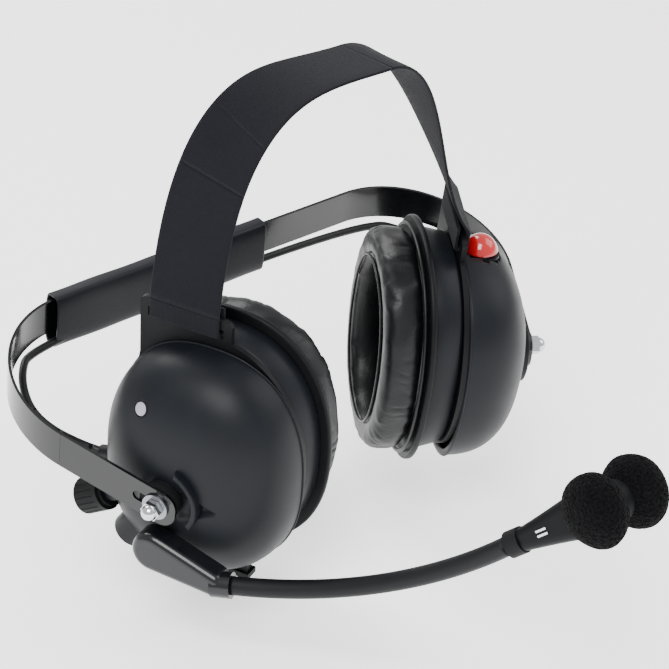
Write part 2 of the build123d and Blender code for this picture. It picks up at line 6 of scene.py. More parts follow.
import json
import logging
import math
from dataclasses import dataclass
from enum import Enum

import bmesh
import bpy
import numpy as np
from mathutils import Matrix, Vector

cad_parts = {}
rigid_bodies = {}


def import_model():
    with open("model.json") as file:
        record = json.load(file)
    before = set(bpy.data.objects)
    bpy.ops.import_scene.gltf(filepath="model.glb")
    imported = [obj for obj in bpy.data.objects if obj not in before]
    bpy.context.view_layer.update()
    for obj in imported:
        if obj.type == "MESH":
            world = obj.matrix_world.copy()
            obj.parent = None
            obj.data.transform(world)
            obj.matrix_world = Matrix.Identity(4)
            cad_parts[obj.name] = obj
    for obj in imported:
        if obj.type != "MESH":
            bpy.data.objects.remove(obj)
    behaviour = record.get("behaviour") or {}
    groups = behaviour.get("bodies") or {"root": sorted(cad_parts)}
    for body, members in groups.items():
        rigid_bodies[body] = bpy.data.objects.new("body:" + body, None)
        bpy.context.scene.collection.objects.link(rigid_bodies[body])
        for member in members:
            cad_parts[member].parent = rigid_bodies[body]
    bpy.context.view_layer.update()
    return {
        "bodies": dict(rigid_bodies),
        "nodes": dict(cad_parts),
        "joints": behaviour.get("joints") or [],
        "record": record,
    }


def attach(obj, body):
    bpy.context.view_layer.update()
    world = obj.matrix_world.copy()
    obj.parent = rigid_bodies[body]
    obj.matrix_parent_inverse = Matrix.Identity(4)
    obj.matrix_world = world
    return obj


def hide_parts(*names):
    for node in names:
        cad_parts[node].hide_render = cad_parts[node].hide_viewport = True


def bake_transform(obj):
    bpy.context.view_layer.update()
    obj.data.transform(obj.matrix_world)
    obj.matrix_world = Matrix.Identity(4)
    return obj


log = logging.getLogger("headset")
MM = 0.001


# ---- the frame's own sizes ---------------------------------------------------------------------


@dataclass(frozen=True)
class Layout:
    """Sizes and angles shared by all sub-assemblies, in millimetres and degrees."""

    band_tilt: float = 8.7
    stud_setback: float = -31.0
    stud_drop: float = -12.0
    stud_spread: float = 196.0
    toe_right: float = 22.5
    toe_left: float = 31.0
    pitch_right: float = -3.0
    pitch_left: float = 7.0
    arm_depth: float = 72.4
    stud_at: tuple[float, float] = (-3.0, -8.0)
    band_back: float = 102.0
    corner_radius: float = 45.0
    rise: float = 11.0

    def to_world(self, points: np.ndarray) -> np.ndarray:
        """Turn points of the band's own frame, in millimetres, into metres in the headset's frame.

        The band's frame leans forward about X by the tilt, then moves to the studs.

        Args:
            points: rows of X, Y, Z in millimetres.

        Returns:
            The same rows in metres.
        """
        tilt = math.radians(self.band_tilt)
        c, s = math.cos(tilt), math.sin(tilt)
        x, y, z = points[..., 0], points[..., 1], points[..., 2]
        turned = np.stack([x, y * c - z * s, y * s + z * c], -1)
        return (turned + np.array([0.0, self.stud_setback, self.stud_drop])) * MM

    def plan_to_world(self, plan: np.ndarray, above: np.ndarray | float = 0.0) -> np.ndarray:
        """Lift points seen from above onto the band's rising plane.

        Args:
            plan: rows of X, Y in millimetres.
            above: height over the rising plane, in millimetres.

        Returns:
            Rows of X, Y, Z in metres.
        """
        height = plan[..., 1] * math.tan(math.radians(self.rise)) + above
        return self.to_world(np.concatenate([plan, height[..., None]], -1))


LAYOUT = Layout()


class Side(Enum):
    """Which ear a cup is for."""

    RIGHT = "right"
    LEFT = "left"

    @property
    def sign(self) -> float:
        """The side's direction along X."""
        return -1.0 if self is Side.RIGHT else 1.0

    @property
    def toe(self) -> float:
        """How far the cup turns forward, in radians."""
        return math.radians(LAYOUT.toe_right if self is Side.RIGHT else LAYOUT.toe_left)

    @property
    def pitch(self) -> float:
        """How far the cup has turned on its stud, in radians."""
        return math.radians(LAYOUT.pitch_right if self is Side.RIGHT else LAYOUT.pitch_left)

    def node(self, name: str) -> str:
        """The name of this side's node or body."""
        return f"{self.value}_{name}"


@dataclass(frozen=True)
class CupFrame:
    """A cup's own directions: ahead, up and out, from the ear centre on the contact face."""

    side: Side

    def axes(self) -> tuple[np.ndarray, np.ndarray, np.ndarray]:
        """The cup's directions in the band's frame.

        Returns:
            The unit vectors ahead, up and out.
        """
        toe, pitch, sign = self.side.toe, self.side.pitch, self.side.sign
        out = np.array([sign * math.cos(toe), -math.sin(toe), 0.0])
        level = np.array([-sign * math.sin(toe), -math.cos(toe), 0.0])
        rise = np.array([0.0, 0.0, 1.0])
        ahead = level * math.cos(pitch) - rise * math.sin(pitch)
        up = level * math.sin(pitch) + rise * math.cos(pitch)
        return ahead, up, out

    def place(self, points: np.ndarray) -> np.ndarray:
        """Turn cup points (ahead, up, out, in millimetres) into metres in the headset's frame.

        Args:
            points: rows of ahead, up, out.

        Returns:
            Rows of X, Y, Z in metres.
        """
        ahead, up, out = self.axes()
        stud = np.array([self.side.sign * LAYOUT.stud_spread / 2, 0.0, 0.0])
        centre = stud - out * LAYOUT.arm_depth - ahead * LAYOUT.stud_at[0] - up * LAYOUT.stud_at[1]
        spread = points[..., :1] * ahead + points[..., 1:2] * up + points[..., 2:3] * out
        return LAYOUT.to_world(centre + spread)

    def local(self, points: np.ndarray) -> np.ndarray:
        """Turn metres in the headset's frame into cup points, the reverse of place.

        Args:
            points: rows of X, Y, Z in metres.

        Returns:
            Rows of ahead, up, out in millimetres.
        """
        start = self.place(np.zeros((1, 3)))
        axes = (self.place(np.eye(3)) - start) / MM
        return (points - start) / MM @ axes.T

    def point(self, ahead: float, up: float, out: float) -> Vector:
        """One cup point in metres."""
        return Vector(self.place(np.array([[ahead, up, out]]))[0])

    def body(self) -> str:
        """The body that the cup rides on."""
        return self.side.node("cup")


# ---- meshes from grids ---------------------------------------------------------------------------


def mesh_object(name: str, points: np.ndarray, faces: list[tuple[int, ...]], smooth: bool = True) -> bpy.types.Object:
    """Put points and faces into a new object, with its faces outward.

    Args:
        name: the object's name.
        points: rows of X, Y, Z in metres.
        faces: corner numbers of each face.
        smooth: whether the faces are shaded smooth.

    Returns:
        The new object, linked to the scene.
    """
    mesh = bpy.data.meshes.new(name)
    mesh.from_pydata(points.reshape(-1, 3).tolist(), [], faces)
    mesh.update()
    bm = bmesh.new()
    bm.from_mesh(mesh)
    bmesh.ops.remove_doubles(bm, verts=bm.verts, dist=1e-7)
    bmesh.ops.recalc_face_normals(bm, faces=bm.faces)
    bm.to_mesh(mesh)
    bm.free()
    mesh.polygons.foreach_set("use_smooth", np.full(len(mesh.polygons), smooth))
    obj = bpy.data.objects.new(name, mesh)
    bpy.context.scene.collection.objects.link(obj)
    return obj


def grid_faces(rows: int, columns: int, wrap_rows: bool, wrap_columns: bool) -> list[tuple[int, ...]]:
    """The quads of a grid of points.

    Args:
        rows: how many rows of points.
        columns: how many points in a row.
        wrap_rows: whether the last row joins the first.
        wrap_columns: whether each row is a closed ring.

    Returns:
        Corner numbers of each quad.
    """
    r = np.arange(rows if wrap_rows else rows - 1)
    c = np.arange(columns if wrap_columns else columns - 1)
    rr, cc = np.meshgrid(r, c, indexing="ij")
    r2, c2 = (rr + 1) % rows, (cc + 1) % columns
    quads = np.stack([rr * columns + cc, rr * columns + c2, r2 * columns + c2, r2 * columns + cc], -1)
    return [tuple(q) for q in quads.reshape(-1, 4).tolist()]


def surface(
    name: str, points: np.ndarray, wrap_rows: bool = False, wrap_columns: bool = True, capped: bool = False
) -> bpy.types.Object:
    """Make an object of a grid of points.

    Args:
        name: the object's name.
        points: an array of rows by columns by 3, in metres.
        wrap_rows: whether the last row joins the first.
        wrap_columns: whether each row is a closed ring.
        capped: whether the first and last rows are closed with a face.

    Returns:
        The new object.
    """
    rows, columns = points.shape[:2]
    faces = grid_faces(rows, columns, wrap_rows, wrap_columns)
    if capped:
        faces.append(tuple(range(columns))[::-1])
        faces.append(tuple(range((rows - 1) * columns, rows * columns)))
    return mesh_object(name, points, faces)


def ring(half: tuple[float, float], angles: np.ndarray, power: float) -> tuple[np.ndarray, np.ndarray]:
    """A closed oval |x/a|^p + |y/b|^p = 1, at the given angles.

    Args:
        half: half width and half height.
        angles: the angles, in radians.
        power: 2 for an ellipse, more for a squarer oval.

    Returns:
        The oval's x and y.
    """
    c, s = np.cos(angles), np.sin(angles)
    x = half[0] * np.sign(c) * np.abs(c) ** (2 / power)
    y = half[1] * np.sign(s) * np.abs(s) ** (2 / power)
    return x, y


def swept_oval(
    half: tuple[float, float], insets: np.ndarray, heights: np.ndarray, power: float = 2.25, drop: float = 0.0, count: int = 144
) -> np.ndarray:
    """Carry a profile round an oval: each profile point is an oval smaller by its inset, at its height.

    Args:
        half: half width and half height of the outline.
        insets: how far each profile point lies inside the outline.
        heights: each profile point's distance outward from the contact face.
        power: squareness of the oval.
        drop: how far the oval's centre lies above the ear centre.
        count: points round the oval.

    Returns:
        Cup points, profile points by count by 3.
    """
    angles = np.linspace(0, 2 * np.pi, count, endpoint=False)
    c, s = np.cos(angles), np.sin(angles)
    a = np.maximum(half[0] - insets, 0.0)[:, None]
    b = np.maximum(half[1] - insets, 0.0)[:, None]
    x = a * np.sign(c) * np.abs(c) ** (2 / power)
    y = b * np.sign(s) * np.abs(s) ** (2 / power) + drop
    return np.stack([x, y, np.broadcast_to(heights[:, None], x.shape)], -1)


def rounded_profile(corners: list[tuple[float, float, float]], steps: int = 6) -> tuple[np.ndarray, np.ndarray]:
    """Round the corners of a profile: each corner becomes a quadratic curve of its own radius.

    Args:
        corners: inset, height and radius of each corner, in order, closed back to the first.
        steps: points on each rounded corner.

    Returns:
        The insets and heights of the rounded, closed profile.
    """
    pts = np.array([c[:2] for c in corners])
    out = []
    for k, (_, _, radius) in enumerate(corners):
        here, before, after = pts[k], pts[k - 1], pts[(k + 1) % len(pts)]
        to_before, to_after = before - here, after - here
        reach_b = min(radius, np.linalg.norm(to_before) * 0.45)
        reach_a = min(radius, np.linalg.norm(to_after) * 0.45)
        start = here + to_before / np.linalg.norm(to_before) * reach_b
        end = here + to_after / np.linalg.norm(to_after) * reach_a
        t = np.linspace(0, 1, steps)[:, None]
        out.append((1 - t) ** 2 * start + 2 * t * (1 - t) * here + t**2 * end)
    profile = np.concatenate(out)
    return profile[:, 0], profile[:, 1]


def path_frames(path: np.ndarray, side_hint: np.ndarray) -> tuple[np.ndarray, np.ndarray, np.ndarray]:
    """Directions along a path: its tangent, the hinted side made square to it, and their cross product.

    Args:
        path: points of the path, in metres.
        side_hint: a direction for each point, or one for all.

    Returns:
        Tangents, sides and normals.
    """
    tangent = np.gradient(path, axis=0)
    tangent /= np.linalg.norm(tangent, axis=1, keepdims=True)
    side = np.broadcast_to(side_hint, path.shape)
    side = side - tangent * np.sum(side * tangent, 1, keepdims=True)
    side = side / np.linalg.norm(side, axis=1, keepdims=True)
    return tangent, side, np.cross(tangent, side)


def carried(path: np.ndarray, side_hint: np.ndarray, wide: np.ndarray, thick: np.ndarray, power: float, count: int) -> np.ndarray:
    """Carry an oval section along a path: each ring is centre + side * x + normal * y.

    Args:
        path: points of the path, in metres.
        side_hint: a direction for the section's width.
        wide: half width at each path point, in metres.
        thick: half thickness at each path point, in metres.
        power: squareness of the section.
        count: points round the section.

    Returns:
        A grid of path points by count by 3.
    """
    _, side, normal = path_frames(path, side_hint)
    x, y = ring((1.0, 1.0), np.linspace(0, 2 * np.pi, count, endpoint=False), power)
    return (
        path[:, None]
        + side[:, None] * (x[None, :] * wide[:, None])[..., None]
        + normal[:, None] * (y[None, :] * thick[:, None])[..., None]
    )


def bezier(a: np.ndarray, b: np.ndarray, c: np.ndarray, d: np.ndarray, t: np.ndarray) -> np.ndarray:
    """Points of a cubic curve with the control points a, b, c and d, at the shares t."""
    t = t[:, None]
    return (1 - t) ** 3 * a + 3 * t * (1 - t) ** 2 * b + 3 * t**2 * (1 - t) * c + t**3 * d


def add_uv(obj: bpy.types.Object, along: np.ndarray, across: np.ndarray) -> None:
    """Give a mesh a UV map in metres from one value pair for each vertex.

    Args:
        obj: the object.
        along: distance along the piece for each vertex.
        across: distance across the piece for each vertex.
    """
    layer = obj.data.uv_layers.new(name="run")
    corner = np.zeros(len(obj.data.loops), np.int64)
    obj.data.loops.foreach_get("vertex_index", corner)
    layer.data.foreach_set("uv", np.stack([along[corner], across[corner]], -1).ravel().astype(np.float32))


def evaluated_mesh(obj: bpy.types.Object) -> bpy.types.Mesh:
    """A new mesh of the object with its modifiers applied."""
    graph = bpy.context.evaluated_depsgraph_get()
    return bpy.data.meshes.new_from_object(obj.evaluated_get(graph))


def apply_modifier(obj: bpy.types.Object, kind: str, **settings: float | str | bool) -> None:
    """Add one modifier, apply it to the mesh and remove it.

    Args:
        obj: the object.
        kind: the modifier's type.
        **settings: its settings.
    """
    modifier = obj.modifiers.new("shape", kind)
    for key, value in settings.items():
        setattr(modifier, key, value)
    mesh = evaluated_mesh(obj)
    obj.modifiers.clear()
    obj.data = mesh


def inflate(obj: bpy.types.Object, voxel: float, pressure: float, cap: float) -> None:
    """Blow a closed skin up as cloth, with no gravity, and keep each point near where it was.

    Args:
        obj: the padded piece.
        voxel: the size of the remeshed faces, in metres.
        pressure: the pressure inside the cloth.
        cap: how far a point may move, in metres.
    """
    apply_modifier(obj, "REMESH", mode="VOXEL", voxel_size=voxel)
    scene = bpy.context.scene
    start = np.zeros(len(obj.data.vertices) * 3)
    obj.data.vertices.foreach_get("co", start)
    cloth = obj.modifiers.new("cloth", "CLOTH")
    cloth.settings.use_pressure = True
    cloth.settings.uniform_pressure_force = pressure
    cloth.settings.effector_weights.gravity = 0.0
    cloth.point_cache.frame_start, cloth.point_cache.frame_end = 1, 20
    for frame in range(1, 21):
        scene.frame_set(frame)
    blown = evaluated_mesh(obj)
    end = np.zeros(len(blown.vertices) * 3)
    blown.vertices.foreach_get("co", end)
    obj.modifiers.clear()
    scene.frame_set(1)
    move = (end - start).reshape(-1, 3)
    far = np.linalg.norm(move, axis=1, keepdims=True)
    move *= np.minimum(1.0, cap / np.maximum(far, 1e-9))
    obj.data.vertices.foreach_set("co", (start.reshape(-1, 3) + move).ravel())
    obj.data.update()
    apply_modifier(obj, "SUBSURF", levels=2, render_levels=2)
    obj.data.polygons.foreach_set("use_smooth", np.ones(len(obj.data.polygons), bool))


def soft_noise(points: np.ndarray, scale: float, seed: int, waves: int = 24) -> np.ndarray:
    """Smooth noise: the mean of many plane waves with random directions and phases.

    Args:
        points: rows of X, Y, Z in metres.
        scale: typical wavelength, in metres.
        seed: the random seed.
        waves: how many waves are added.

    Returns:
        A value of about -1 to 1 for each point.
    """
    rng = np.random.default_rng(seed)
    directions = rng.normal(size=(waves, 3))
    directions /= np.linalg.norm(directions, axis=1, keepdims=True)
    pitch = 2 * np.pi / scale * rng.uniform(0.6, 1.6, waves)
    phase = rng.uniform(0, 2 * np.pi, waves)
    total = np.sin(points.reshape(-1, 3) @ (directions * pitch[:, None]).T + phase).sum(1)
    return (total / math.sqrt(waves)).reshape(points.shape[:-1])


# ---- finishes --------------------------------------------------------------------------------------


def linear(hex_colour: str) -> tuple[float, float, float, float]:
    """Turn an sRGB hex value into a linear colour with full alpha."""
    parts = np.array([int(hex_colour[k : k + 2], 16) for k in (1, 3, 5)]) / 255
    values = np.where(parts <= 0.04045, parts / 12.92, ((parts + 0.055) / 1.055) ** 2.4)
    return (*values.tolist(), 1.0)


def add(tree: bpy.types.NodeTree, kind: str, settings: dict | None = None, links: dict | None = None) -> bpy.types.Node:
    """Add a node with its settings and links.

    Args:
        tree: the node tree.
        kind: the node's type.
        settings: attributes of the node, or values of its inputs by name or number.
        links: output sockets to join to its inputs, by name or number.

    Returns:
        The new node.
    """
    node = tree.nodes.new(kind)
    for key, value in (settings or {}).items():
        if isinstance(key, str) and hasattr(node, key):
            setattr(node, key, value)
        else:
            node.inputs[key].default_value = value
    for key, socket in (links or {}).items():
        tree.links.new(socket, node.inputs[key])
    return node


class Texture(Enum):
    """What breaks up a surface."""

    MOULDED = "moulded"
    WOVEN = "woven"
    HIDE = "hide"
    CELLS = "cells"
    BRUSHED = "brushed"


@dataclass(frozen=True)
class Finish:
    """One material: what it is made of, its colour, its gloss and its texture at a real scale."""

    name: str
    colour: str
    second: str
    roughness: float
    texture: Texture
    grain_mm: float
    depth_mm: float
    metallic: float = 0.0
    ior: float = 1.5
    coat: float = 0.0
    coat_roughness: float = 0.1
    sheen: float = 0.0
    rough_swing: float = 0.08
    specular: float = 0.5

    def make(self) -> bpy.types.Material:
        """Build the material's nodes.

        Returns:
            The material.
        """
        known = bpy.data.materials.get(self.name)
        if known:
            return known
        material = bpy.data.materials.new(self.name)
        material.use_nodes = True
        tree = material.node_tree
        tree.nodes.clear()
        output = add(tree, "ShaderNodeOutputMaterial")
        shader = add(
            tree,
            "ShaderNodeBsdfPrincipled",
            {
                "Metallic": self.metallic,
                "Coat Weight": self.coat,
                "Coat Roughness": self.coat_roughness,
                "Sheen Weight": self.sheen,
                "Sheen Roughness": 0.45,
                "Specular IOR Level": self.specular,
            },
        )
        if self.metallic < 0.5:
            shader.inputs["IOR"].default_value = self.ior
        tree.links.new(shader.outputs["BSDF"], output.inputs["Surface"])
        height = self.height(tree)
        cloud = add(
            tree,
            "ShaderNodeTexNoise",
            {"Scale": 1 / (14 * MM), "Detail": 3.0},
            {"Vector": self.coordinates(tree)},
        )
        tint = add(
            tree,
            "ShaderNodeMix",
            {"data_type": "RGBA", 6: linear(self.colour), 7: linear(self.second)},
            {0: cloud.outputs["Fac"]},
        )
        # for woven and foam finishes the base colour carries painted shade in the relief's hollows and painted light on
        # its high parts
        tree.links.new(self.paint_light_and_shade(tree, tint.outputs[2], height), shader.inputs["Base Color"])
        rough = add(
            tree,
            "ShaderNodeMapRange",
            {3: max(self.roughness - self.rough_swing, 0.02), 4: min(self.roughness + self.rough_swing, 1.0)},
            {0: cloud.outputs["Fac"]},
        )
        tree.links.new(rough.outputs[0], shader.inputs["Roughness"])
        bump = add(
            tree,
            "ShaderNodeBump",
            {"Strength": 1.0, "Distance": self.depth_mm * MM},
            {"Height": height},
        )
        tree.links.new(bump.outputs["Normal"], shader.inputs["Normal"])
        return material

    def coordinates(self, tree: bpy.types.NodeTree) -> bpy.types.NodeSocket:
        """The pattern's coordinates: the piece's own run for cloth, and the object's for the rest."""
        if self.texture is Texture.WOVEN:
            return add(tree, "ShaderNodeUVMap", {"uv_map": "run"}).outputs["UV"]
        return add(tree, "ShaderNodeTexCoord").outputs["Object"]

    def height(self, tree: bpy.types.NodeTree) -> bpy.types.NodeSocket:
        """The relief of the surface.

        Returns:
            A socket from 0 to 1.
        """
        scale = 1 / (self.grain_mm * MM)
        where = self.coordinates(tree)
        if self.texture is Texture.WOVEN:
            # narrow webbing: rounded ribs one way, crossed by the finer weft
            warp = add(tree, "ShaderNodeTexWave", {"Scale": scale / 6.283 * 3.14, "bands_direction": "Y", "Distortion": 0.6, "Detail": 1.0}, {0: where})
            weft = add(tree, "ShaderNodeTexWave", {"Scale": scale / 6.283 * 3.14, "bands_direction": "X", "Distortion": 0.6, "Detail": 1.0}, {0: where})
            fuzz = add(tree, "ShaderNodeTexNoise", {"Scale": scale * 1.7, "Detail": 3.0}, {0: where})
            cross = add(tree, "ShaderNodeMath", {"operation": "MULTIPLY"}, {0: warp.outputs["Fac"], 1: weft.outputs["Fac"]})
            mixed = add(tree, "ShaderNodeMath", {"operation": "MULTIPLY_ADD", 1: 0.6}, {0: fuzz.outputs["Fac"], 2: cross.outputs[0]})
            return mixed.outputs[0]
        if self.texture is Texture.CELLS:
            cells = add(tree, "ShaderNodeTexVoronoi", {"Scale": scale, "feature": "F1"}, {"Vector": where})
            return cells.outputs["Distance"]
        if self.texture is Texture.HIDE:
            creases = add(tree, "ShaderNodeTexVoronoi", {"Scale": scale, "feature": "SMOOTH_F1"}, {"Vector": where})
            fine = add(tree, "ShaderNodeTexNoise", {"Scale": scale * 2.2, "Detail": 4.0}, {"Vector": where})
            mixed = add(tree, "ShaderNodeMath", {"operation": "MULTIPLY_ADD", 1: 0.4}, {0: fine.outputs["Fac"], 2: creases.outputs["Distance"]})
            return mixed.outputs[0]
        if self.texture is Texture.BRUSHED:
            streaks = add(tree, "ShaderNodeMapping", {"Scale": (1.0, 1.0, 9.0)}, {"Vector": where})
            lines = add(tree, "ShaderNodeTexNoise", {"Scale": scale, "Detail": 2.0}, {"Vector": streaks.outputs[0]})
            return lines.outputs["Fac"]
        grain = add(tree, "ShaderNodeTexNoise", {"Scale": scale, "Detail": 2.0, "Roughness": 0.6}, {"Vector": where})
        return grain.outputs["Fac"]

    def paint_light_and_shade(self, tree: bpy.types.NodeTree, tint: bpy.types.NodeSocket, height: bpy.types.NodeSocket) -> bpy.types.NodeSocket:
        """Paint shade into the low parts of a coarse texture and light onto its high parts.

        Args:
            tree: the node tree.
            tint: the surface's colour.
            height: the relief.

        Returns:
            The colour with the painted shade and light.
        """
        if self.texture not in (Texture.WOVEN, Texture.CELLS):
            return tint
        # painted shade and light: foam pits darken to 0.25 and woven hollows to 0.62 of the colour, high parts lighten
        # up to 1.25
        low = 0.25 if self.texture is Texture.CELLS else 0.62
        depth = add(tree, "ShaderNodeMapRange", {1: 0.0, 2: 0.9, 3: low, 4: 1.25}, {0: height})
        return add(
            tree,
            "ShaderNodeMix",
            {"data_type": "RGBA", "blend_type": "MULTIPLY", 0: 1.0},
            {6: tint, 7: depth.outputs[0]},
        ).outputs[2]


# ABS, injection moulded with a fine spark texture: deep black with a soft, slightly blue highlight
CUP_ABS = Finish("moulded_ABS_satin_black", "#0d0f13", "#12151a", 0.44, Texture.MOULDED, 0.55, 0.02, specular=0.17)
# ABS with a coarser texture for the plates between the cups
PLATE_ABS = Finish("moulded_ABS_dark_plate", "#08090b", "#0c0d10", 0.46, Texture.MOULDED, 0.6, 0.03, specular=0.14)
# polished ABS of the boom mount: a clear highlight along its edge
MOUNT_ABS = Finish("polished_ABS_black", "#0d0e11", "#131418", 0.22, Texture.MOULDED, 1.2, 0.01, coat=0.2, specular=0.3)
# nylon strap with a brushed loop face: charcoal, matt, with a fibre sheen
STRAP_NYLON = Finish("woven_nylon_strap", "#101015", "#17171d", 0.85, Texture.WOVEN, 0.85, 0.16, sheen=0.05, specular=0.1)
# black oxide and lacquer on spring steel: near-mirror strips
SPRING_STEEL = Finish("lacquered_spring_steel", "#050608", "#08090b", 0.14, Texture.BRUSHED, 1.4, 0.008, coat=0.25, coat_roughness=0.08, specular=0.4)
# soft vinyl tube over the band
VINYL = Finish("soft_vinyl_sleeve", "#0b0c11", "#10121a", 0.42, Texture.HIDE, 1.1, 0.035, specular=0.22)
# protein leather stretched over foam: fine hide grain and a broad sheen
LEATHERETTE = Finish("protein_leather_black", "#08090b", "#0d0e11", 0.42, Texture.HIDE, 0.9, 0.06, coat=0.04, coat_roughness=0.35, specular=0.26)
# open-cell foam
FOAM = Finish("open_cell_foam_black", "#09090a", "#111113", 0.95, Texture.CELLS, 0.95, 0.5, sheen=0.02, specular=0.05)
ACOUSTIC = Finish("acoustic_foam_grey", "#141416", "#1d1d20", 0.95, Texture.CELLS, 1.4, 0.5, specular=0.05)
# heat-shrunk polyolefin over the gooseneck
SHRINK = Finish("heat_shrink_tube_black", "#0b0c0e", "#101114", 0.5, Texture.MOULDED, 0.7, 0.03, specular=0.2)
# moulded rubber
RUBBER = Finish("moulded_rubber_black", "#0c0d0e", "#141516", 0.6, Texture.MOULDED, 0.5, 0.03, specular=0.15)
# PVC cable jacket
JACKET = Finish("pvc_cable_jacket", "#090a0c", "#0e0f11", 0.42, Texture.MOULDED, 0.6, 0.02, specular=0.3)
# bright chromium plate
CHROME = Finish("bright_chrome_plate", "#d6d8dc", "#c8cace", 0.09, Texture.BRUSHED, 1.5, 0.003, metallic=1.0, rough_swing=0.03)
# zinc plated steel
ZINC = Finish("zinc_plated_steel", "#9a9ca0", "#85878c", 0.32, Texture.BRUSHED, 0.8, 0.01, metallic=1.0)
# glossy ABS buttons
RED = Finish("gloss_red_button", "#a8080c", "#b80d10", 0.16, Texture.MOULDED, 2.5, 0.01, coat=0.7, coat_roughness=0.05, rough_swing=0.03)
BLUE = Finish("gloss_blue_button", "#2a5a94", "#3468a6", 0.2, Texture.MOULDED, 2.5, 0.01, coat=0.5, rough_swing=0.03)
# frosted polycarbonate lens
LENS = Finish("frosted_lens", "#8d8b93", "#a3a1a9", 0.3, Texture.MOULDED, 0.5, 0.02, coat=0.5)
BOARD = Finish("green_circuit_board", "#0f3a20", "#144a2a", 0.4, Texture.MOULDED, 1.0, 0.02)
SWITCH_BODY = Finish("switch_body_black", "#121212", "#1a1a1a", 0.5, Texture.MOULDED, 0.5, 0.02)
CELL_WRAP = Finish("blue_battery_wrap", "#26345e", "#2e3f70", 0.35, Texture.MOULDED, 1.0, 0.01)


def dress(obj: bpy.types.Object, finish: Finish) -> bpy.types.Object:
    """Give an object one finish on every face.

    Args:
        obj: the object.
        finish: the finish.

    Returns:
        The same object.
    """
    obj.data.materials.clear()
    obj.data.materials.append(finish.make())
    return obj


def finished(obj: bpy.types.Object, finish: Finish, body: str | None, stands_for: tuple[str, ...] = ()) -> bpy.types.Object:
    """Dress a new piece, let it ride, and hide the nodes it stands for.

    Args:
        obj: the new piece.
        finish: its finish.
        body: the body it rides on, or None to leave it unattached.
        stands_for: the nodes that it replaces.

    Returns:
        The same object.
    """
    dress(obj, finish)
    if body:
        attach(obj, body)
    if stands_for:
        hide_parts(*stands_for)
    log.info("%s: %d faces", obj.name, len(obj.data.polygons))
    return obj


# ---- ear cups --------------------------------------------------------------------------------------


